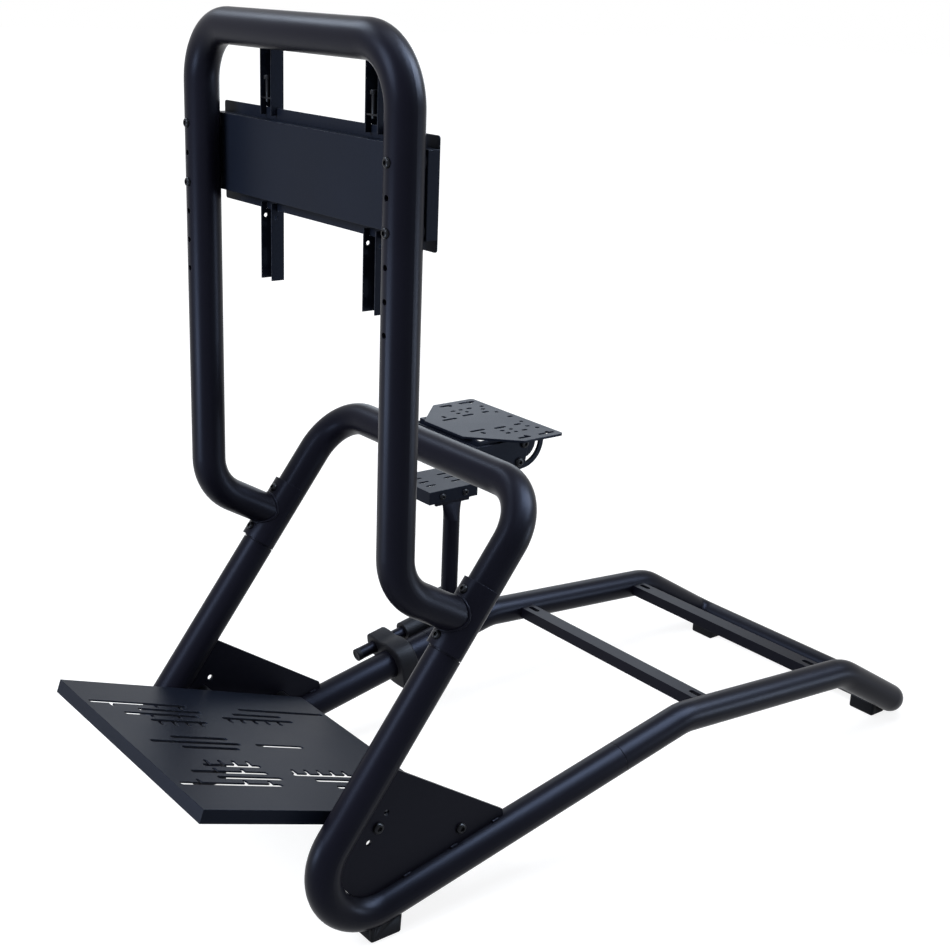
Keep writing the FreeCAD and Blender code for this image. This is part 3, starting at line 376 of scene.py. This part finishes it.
def copies(name, model, spots):
    """One piece made of copies of a model, each at a place and along a direction."""
    made = []
    for spot, way in spots:
        copy = model.copy()
        copy.data = model.data.copy()
        scene.collection.objects.link(copy)
        turn = Vector((0, 0, 1)).rotation_difference(Vector(way)).to_matrix().to_4x4()
        copy.matrix_world = Matrix.Translation(spot) @ turn
        made.append(copy)
    bpy.ops.object.select_all(action="DESELECT")
    for copy in made:
        copy.select_set(True)
    bpy.context.view_layer.objects.active = made[0]
    if len(made) > 1:
        bpy.ops.object.join()
    piece = bpy.context.object
    piece.name = name
    piece.data.name = name
    bpy.ops.object.transform_apply(location=True, rotation=True, scale=True)
    return piece


def keep(piece, body, slot):
    """Gives a new piece its finish and the body that carries it."""
    pick_only(piece)
    bpy.ops.object.mode_set(mode="EDIT")
    bpy.ops.mesh.select_all(action="SELECT")
    bpy.ops.mesh.normals_make_consistent(inside=False)
    bpy.ops.object.mode_set(mode="OBJECT")
    bpy.ops.object.shade_smooth_by_angle(angle=PIECE_SHARP)
    piece.data.materials.clear()
    piece.data.materials.append(FINISHES[slot])
    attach(piece, body)
    return piece


def domed_screw(name, radius, height, shank=0.0, length=0.0):
    """A button screw with a hexagon socket, its head standing on the origin."""
    dome = height * 0.72
    socket_floor = height * 0.40
    screw = start_round(name, sides=32, radius=radius, low=0.0, high=height)
    round_rim(screw, height, dome, steps=5)
    if shank:
        tip = shank * 0.2
        push_cap(screw, 0.0, up=False, inward=radius - shank, rise=-length)
        round_rim(screw, -length, tip, steps=2)
    cutter = start_round("socket_cutter", sides=6, radius=radius * 0.50, low=socket_floor, high=height * 1.5)
    carve(screw, cutter)
    return screw


def screws(name, body, spots, radius, height):
    """Like screws at several places, as one piece."""
    model = domed_screw(name + "_model", radius, height)
    piece = copies(name, model, spots)
    bpy.data.objects.remove(model)
    return keep(piece, body, "bolt_steel")


# Screws of the screen stand, its saddles, the pedal plate and the shifter.
stand_spots = []
saddle_spots = []
pedal_spots = []
washer_spots = []
for side in (1, -1):
    for height in STAND_SCREW_HEIGHTS:
        stand_spots.append((place(side * HALF_SPAN, STAND_Y - TUBE + STAND_SCREW_SINK, height), (0, -1, 0)))
        washer_spots.append((place(side * HALF_SPAN, STAND_Y + STAND_WASHER_BACK, height), (0, 1, 0)))
    for along in SADDLE_SCREWS_ALONG:
        saddle_spots.append((on_leg(side * HALF_SPAN, along, TUBE + SADDLE_WALL), LEG_FRONT))
    for along in PEDAL_SCREWS_ALONG:
        back = along * math.cos(PEDAL_TILT) - PEDAL_SCREW_DROP * math.sin(PEDAL_TILT)
        fall = along * math.sin(PEDAL_TILT) + PEDAL_SCREW_DROP * math.cos(PEDAL_TILT)
        spot = place(side * (HALF_SPAN + GUSSET_HALF), PEDAL_EDGE_Y + back, PEDAL_EDGE_Z - fall)
        pedal_spots.append((spot, (side, 0, 0)))
shifter_spots = [(place(SHIFTER_LIP_X, along, SHIFTER_SCREW_Z), (1, 0, 0)) for along in SHIFTER_SCREWS_Y]
clamp_spots = []
for shift in (-PINCH_HALF_PITCH, PINCH_HALF_PITCH):
    clamp_spots.append((on_lower(-HALF_SPAN - PINCH_OUT, CLAMP_ALONG + shift, -PINCH_DROP), -LOWER_TOP))
clamp_spots.append((place(*ELBOW_SCREW), (-1, 0, 0)))
screws("stand_screws", "frame", stand_spots, radius=0.0068, height=0.0042)
screws("saddle_screws", "frame", saddle_spots, radius=0.0066, height=0.0044)
screws("pedal_screws", "frame", pedal_spots, radius=0.0085, height=0.0050)
screws("shifter_screws", "shifter", shifter_spots, radius=0.0062, height=0.0042)
screws("clamp_screws", "shifter", clamp_spots, radius=0.0050, height=0.0036)

# Spacer discs between the uprights and the crossmember.
disc_depth = 0.0037
disc = start_round("disc_model", sides=32, radius=0.0120, low=0.0, high=disc_depth)
for height in (0.0, disc_depth):
    round_rim(disc, height, 0.0006, steps=2)
keep(copies("stand_washers", disc, washer_spots), "frame", "clamp_plastic")
bpy.data.objects.remove(disc)

# Deck bolts: each goes through a bracket ear and a deck ear.
lock_y = PIVOT_Y + LOCK_RADIUS * math.cos(LOCK_ANGLE)
lock_z = PIVOT_Z - LOCK_RADIUS * math.sin(LOCK_ANGLE)
deck_screw = domed_screw("deck_screw_model", radius=0.0072, height=0.0042, shank=0.0039, length=0.0124)
for word, side in (("left", 1), ("right", -1)):
    for kind, along, up in (("pivot", PIVOT_Y, PIVOT_Z), ("lock", lock_y, lock_z)):
        node = "%s_%s_bolt" % (word, kind)
        bolt = copies(node + "_look", deck_screw, [(place(side * EAR_FACE, along, up), (side, 0, 0))])
        keep(bolt, "frame", "bolt_steel")
        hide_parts(node)
bpy.data.objects.remove(deck_screw)


# Weld beads where the stand's toes meet the saddles and the gussets meet the tubes.
def weld_beads(name, paths, closed):
    """Rippled beads along lists of points: round curves, then made a mesh."""
    data = bpy.data.curves.new(name, "CURVE")
    data.dimensions = "3D"
    data.bevel_depth = BEAD_RADIUS
    data.bevel_resolution = 2
    data.use_fill_caps = True
    for path in paths:
        spline = data.splines.new("POLY")
        spline.points.add(len(path) - 1)
        spline.use_cyclic_u = closed
        for index, spot in enumerate(path):
            spline.points[index].co = (*spot, 1.0)
            spline.points[index].radius = 1.0 + BEAD_RIPPLE * math.sin(index * BEAD_RIPPLE_TURN)
    bead = bpy.data.objects.new(name, data)
    scene.collection.objects.link(bead)
    pick_only(bead)
    bpy.ops.object.convert(target="MESH")
    return keep(bpy.context.object, "frame", "frame_paint")


toe_way = Vector((0, math.cos(TOE_ANGLE), -math.sin(TOE_ANGLE)))
toe_up = Vector((0, math.sin(TOE_ANGLE), math.cos(TOE_ANGLE)))
toe_skin = TUBE + 0.4
saddle_skin = TUBE + SADDLE_WALL + 0.6
ring_steps = 60
toe_rings = []
for side in (1, -1):
    ring = []
    for step in range(ring_steps):
        turn = 2 * math.pi * step / ring_steps
        across = toe_skin * math.cos(turn)
        line = Vector((0, STAND_Y, STAND_KNEE - CORNER_Z)) + toe_up * (toe_skin * math.sin(turn))
        depth = math.sqrt(saddle_skin ** 2 - across ** 2)
        run = (depth - line.dot(LEG_FRONT)) / toe_way.dot(LEG_FRONT)
        spot = line + toe_way * run
        ring.append(place(side * HALF_SPAN + across, spot.y, spot.z + CORNER_Z))
    toe_rings.append(ring)
weld_beads("toe_welds", toe_rings, True)

tack_out = 3.4
tack_skin = TUBE + 0.6
tack_run = [2.0 * step for step in range(-3, 4)]
tacks = []
for side in (1, -1):
    for face in (1, -1):
        across = side * HALF_SPAN + face * tack_out
        for along in GUSSET_TACKS_ON_LOWER:
            tacks.append([on_lower(across, along + run, tack_skin) for run in tack_run])
        for along in GUSSET_TACKS_ON_LEG:
            tacks.append([on_leg(across, along + run, -tack_skin) for run in tack_run])
weld_beads("gusset_welds", tacks, False)

# Lock screws that hold the screen bars on the rail, each in a small bridge.
shank_top = 0.0300
head_low = 0.0304
head_top = 0.0360
head_widening = 1.65
lock_screw = start_round("lock_screw_model", sides=20, radius=0.0030, low=0.0, high=shank_top)
round_rim(lock_screw, 0.0, 0.0007, steps=2)
push_cap(lock_screw, shank_top, up=True, inward=0.0, rise=head_low - shank_top)
pick_cap(lock_screw, head_low, up=True)
bpy.ops.transform.resize(value=(head_widening, head_widening, 1.0), center_override=(0, 0, head_low))
bpy.ops.object.mode_set(mode="OBJECT")
push_cap(lock_screw, head_low, up=True, inward=0.0, rise=head_top - head_low)
round_rim(lock_screw, head_top, 0.0012, steps=3)
bridge_spot = (0, 0.0024, 0.0051)
bridge_size = (0.0256, 0.0108, 0.0022)
bpy.ops.object.select_all(action="DESELECT")
bpy.ops.mesh.primitive_cube_add(size=1.0, location=bridge_spot, scale=bridge_size)
bpy.ops.object.transform_apply(location=True, rotation=True, scale=True)
bpy.ops.object.mode_set(mode="EDIT")
bpy.ops.mesh.select_all(action="SELECT")
bpy.ops.mesh.bevel(offset=0.0005, segments=2, affect="EDGES")
bpy.ops.object.mode_set(mode="OBJECT")
lock_screw.select_set(True)
bpy.context.view_layer.objects.active = lock_screw
bpy.ops.object.join()
for word, across in (("left", BAR_ACROSS), ("right", -BAR_ACROSS)):
    piece = copies(word + "_bar_screw", lock_screw, [(place(across, BAR_SCREW_Y, BAR_SCREW_Z), (0, 0, 1))])
    keep(piece, word + "_bar", "bolt_steel")
bpy.data.objects.remove(lock_screw)

# Shifter clamp: a moulded body with rounded rims, two bores and a pinch slit beside the rod.
clamp_curve = bpy.data.curves.new("shifter_clamp_look", "CURVE")
clamp_curve.dimensions = "2D"
clamp_curve.fill_mode = "BOTH"
clamp_curve.extrude = (CLAMP_LENGTH / 2.0 - CLAMP_RIM) / 1000.0
clamp_curve.bevel_depth = CLAMP_RIM / 1000.0
clamp_curve.bevel_resolution = 3
clamp_curve.offset = -CLAMP_RIM / 1000.0
clamp_curve.resolution_u = 10
spline = clamp_curve.splines.new("NURBS")
spline.points.add(len(CLAMP_OUTLINE) - 1)
for point, (out, up) in zip(spline.points, CLAMP_OUTLINE):
    point.co = (out / 1000.0, up / 1000.0, 0.0, 1.0)
spline.use_cyclic_u = True
spline.order_u = 3
clamp = bpy.data.objects.new("shifter_clamp_look", clamp_curve)
scene.collection.objects.link(clamp)
pick_only(clamp)
bpy.ops.object.convert(target="MESH")
clamp = bpy.context.object
pick_only(clamp)
bpy.ops.object.mode_set(mode="EDIT")
bpy.ops.mesh.select_all(action="SELECT")
bpy.ops.mesh.remove_doubles(threshold=0.00002)
bpy.ops.mesh.normals_make_consistent(inside=False)
bpy.ops.object.mode_set(mode="OBJECT")
cutter_reach = 0.03
tube_cutter = start_round("tube_bore_cutter", 64, CLAMP_BORE / 1000.0, -cutter_reach, cutter_reach)
carve(clamp, tube_cutter)
rod_cutter = start_round("rod_bore_cutter", 40, ROD_BORE / 1000.0, -cutter_reach, cutter_reach)
rod_cutter.location = (ROD_OUT / 1000.0, ROD_UP / 1000.0, 0.0)
carve(clamp, rod_cutter)
slit_spot = (0.063, ROD_UP / 1000.0, 0.0)
slit_size = (0.030, 0.0016, 0.060)
bpy.ops.object.select_all(action="DESELECT")
bpy.ops.mesh.primitive_cube_add(size=1.0, location=slit_spot, scale=slit_size)
carve(clamp, bpy.context.object)
clamp.matrix_world = Matrix.Translation(on_lower(-HALF_SPAN, CLAMP_ALONG, 0.0)) @ Matrix((
    (-1, 0, 0, 0), (0, LOWER_TOP.y, LOWER_WAY.y, 0), (0, LOWER_TOP.z, LOWER_WAY.z, 0), (0, 0, 0, 1)))
pick_only(clamp)
bpy.ops.object.transform_apply(location=True, rotation=True, scale=True)
keep(clamp, "shifter", "clamp_plastic")
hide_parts("shifter_clamp")

# Cap on the front end of the shifter's rod, with a dished face.
cap_face = 0.0020
cap = start_round("cap_model", sides=32, radius=0.0113, low=-0.0060, high=cap_face)
round_rim(cap, cap_face, 0.0010, steps=3)
push_cap(cap, cap_face, up=True, inward=0.0030, rise=-0.0010)
rod_end = on_lower(-HALF_SPAN - ROD_OUT, ROD_FRONT, ROD_UP)
keep(copies("rod_plug", cap, [(rod_end, -LOWER_WAY)]), "shifter", "clamp_plastic")
bpy.data.objects.remove(cap)


# Feet: the rubber blocks with their corners rounded.
def rounded_foot(node):
    """A copy of a foot's block whose upright corners and lower rim are rounded."""
    shape = nodes[node].data.copy()
    shape.transform(nodes[node].matrix_world)
    foot = bpy.data.objects.new(node + "_look", shape)
    scene.collection.objects.link(foot)
    pick_only(foot)
    bpy.ops.object.mode_set(mode="EDIT")
    bpy.ops.mesh.select_all(action="SELECT")
    bpy.ops.mesh.remove_doubles(threshold=0.00001)
    bpy.ops.mesh.dissolve_limited(angle_limit=math.radians(1.0))
    bpy.ops.object.mode_set(mode="OBJECT")
    begin_edit(foot, "EDGE")
    points = shape.vertices
    low = [min(point.co[axis] for point in points) for axis in range(3)]
    high = [max(point.co[axis] for point in points) for axis in range(3)]
    for edge in shape.edges:
        ends = [points[index].co for index in edge.vertices]
        rim = all(abs(end.z - low[2]) < NEAR for end in ends)
        corner = all(min(abs(end[axis] - low[axis]), abs(end[axis] - high[axis])) < NEAR
                     for end in ends for axis in (0, 1))
        upright = corner and abs(ends[0].z - ends[1].z) > FOOT_LEAST_UPRIGHT
        edge.select = rim or upright
    bpy.ops.object.mode_set(mode="EDIT")
    bpy.ops.mesh.bevel(offset=FOOT_ROUNDING, segments=4, profile=0.5, affect="EDGES")
    bpy.ops.object.mode_set(mode="OBJECT")
    keep(foot, "frame", "foot_rubber")
    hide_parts(node)


for end in ("front", "rear"):
    for word in ("left", "right"):
        rounded_foot("%s_%s_foot" % (end, word))


# Studio: floor, backdrop and lamps.
def backdrop_rays(tree):
    """A mask of the rays that see the white backdrop: the camera's, mirrored ones and those through glass."""
    rays = tree.nodes.new("ShaderNodeLightPath")
    seen = tree.nodes.new("ShaderNodeMath")
    seen.operation = "MAXIMUM"
    shown = tree.nodes.new("ShaderNodeMath")
    shown.operation = "MAXIMUM"
    tree.links.new(rays.outputs["Is Camera Ray"], seen.inputs[0])
    tree.links.new(rays.outputs["Is Glossy Ray"], seen.inputs[1])
    tree.links.new(seen.outputs["Value"], shown.inputs[0])
    tree.links.new(rays.outputs["Is Transmission Ray"], shown.inputs[1])
    return shown.outputs["Value"]


def floor_finish():
    """A pale floor that keeps the rig's shadow and gets whiter with distance."""
    material = bpy.data.materials.new("studio_floor_look")
    material.use_nodes = True
    tree = material.node_tree
    shader = tree.nodes["Principled BSDF"]
    shader.inputs["Base Color"].default_value = (0.32, 0.32, 0.32, 1)
    shader.inputs["Roughness"].default_value = 1.0
    shader.inputs["Specular IOR Level"].default_value = 0.0
    shader.inputs["Emission Color"].default_value = (1, 1, 1, 1)
    coords = tree.nodes.new("ShaderNodeTexCoord")
    distance = tree.nodes.new("ShaderNodeVectorMath")
    distance.operation = "LENGTH"
    glow = tree.nodes.new("ShaderNodeMapRange")
    glow.inputs["From Min"].default_value = 1.2
    glow.inputs["From Max"].default_value = 3.5
    glow.inputs["To Min"].default_value = 0.84
    glow.inputs["To Max"].default_value = 1.0
    white = tree.nodes.new("ShaderNodeMath")
    white.operation = "MULTIPLY"
    tree.links.new(coords.outputs["Object"], distance.inputs[0])
    tree.links.new(distance.outputs["Value"], glow.inputs["Value"])
    tree.links.new(glow.outputs["Result"], white.inputs[0])
    tree.links.new(backdrop_rays(tree), white.inputs[1])
    tree.links.new(white.outputs["Value"], shader.inputs["Emission Strength"])
    return material


floor_drop = 0.0005
bpy.ops.object.select_all(action="DESELECT")
bpy.ops.mesh.primitive_plane_add(size=60.0, location=(0, 0, -floor_drop))
floor = bpy.context.object
floor.name = "studio_floor"
floor.data.materials.append(floor_finish())

# World: the white backdrop that the camera and reflections see, and a plain level of light besides.
world = bpy.data.worlds.new("studio_world")
scene.world = world
world.use_nodes = True
sky = world.node_tree
plain = sky.nodes["Background"]
plain.inputs["Color"].default_value = (0.44, 0.46, 0.50, 1)
backdrop = sky.nodes.new("ShaderNodeBackground")
backdrop.inputs["Color"].default_value = (1, 1, 1, 1)
choose = sky.nodes.new("ShaderNodeMixShader")
sky.links.new(backdrop_rays(sky), choose.inputs["Fac"])
sky.links.new(plain.outputs["Background"], choose.inputs[1])
sky.links.new(backdrop.outputs["Background"], choose.inputs[2])
sky.links.new(choose.outputs["Shader"], sky.nodes["World Output"].inputs["Surface"])


def soft_box(name, spot, target, width, height, power, colour):
    """A rectangular lamp at a spot, in metres and watts, that faces a target and isn't seen itself."""
    data = bpy.data.lights.new(name, "AREA")
    data.shape = "RECTANGLE"
    data.size = width
    data.size_y = height
    data.energy = power
    data.color = colour
    lamp = bpy.data.objects.new(name, data)
    scene.collection.objects.link(lamp)
    lamp.location = spot
    lamp.rotation_euler = (Vector(target) - Vector(spot)).to_track_quat("-Z", "Y").to_euler()
    lamp.visible_camera = False
    return lamp


# Two lamps light the rig at a plain level; the cards only show in its gloss, as in a studio.
LAMP_WHITE = (0.88, 0.93, 1.0)
CARD_BLUE = (0.78, 0.88, 1.0)
soft_box("key_box", (-0.1, -2.6, 2.2), (0.1, -0.3, 0.4), 1.2, 1.2, 100.0, LAMP_WHITE)
soft_box("top_box", (0.5, 0.0, 3.6), (0.0, 0.0, 0.4), 2.0, 2.0, 60.0, LAMP_WHITE)
cards = (
    soft_box("front_card", (-0.22, -1.95, 0.40), (0.06, -0.45, 0.70), 0.6, 0.42, 24.0, CARD_BLUE),
    soft_box("side_card", (1.35, 1.8, 2.4), (0.2, 0.0, 0.15), 1.6, 1.4, 230.0, CARD_BLUE),
    soft_box("over_card", (0.85, 0.6, 2.6), (0.3, -0.3, 0.1), 1.0, 1.0, 110.0, CARD_BLUE),
    soft_box("left_card", (-1.8, -1.0, 2.9), (0.0, -0.2, 0.9), 1.1, 1.1, 64.0, CARD_BLUE),
    soft_box("rear_card", (-1.6, 1.35, 1.25), (0.0, 0.1, 0.5), 1.6, 1.0, 14.0, CARD_BLUE),
    soft_box("right_card", (1.6, 1.6, 0.33), (0.1, 0.0, 0.60), 0.7, 0.5, 24.0, CARD_BLUE),
)
for card in cards:
    card.visible_diffuse = False

scene.view_settings.view_transform = "Standard"
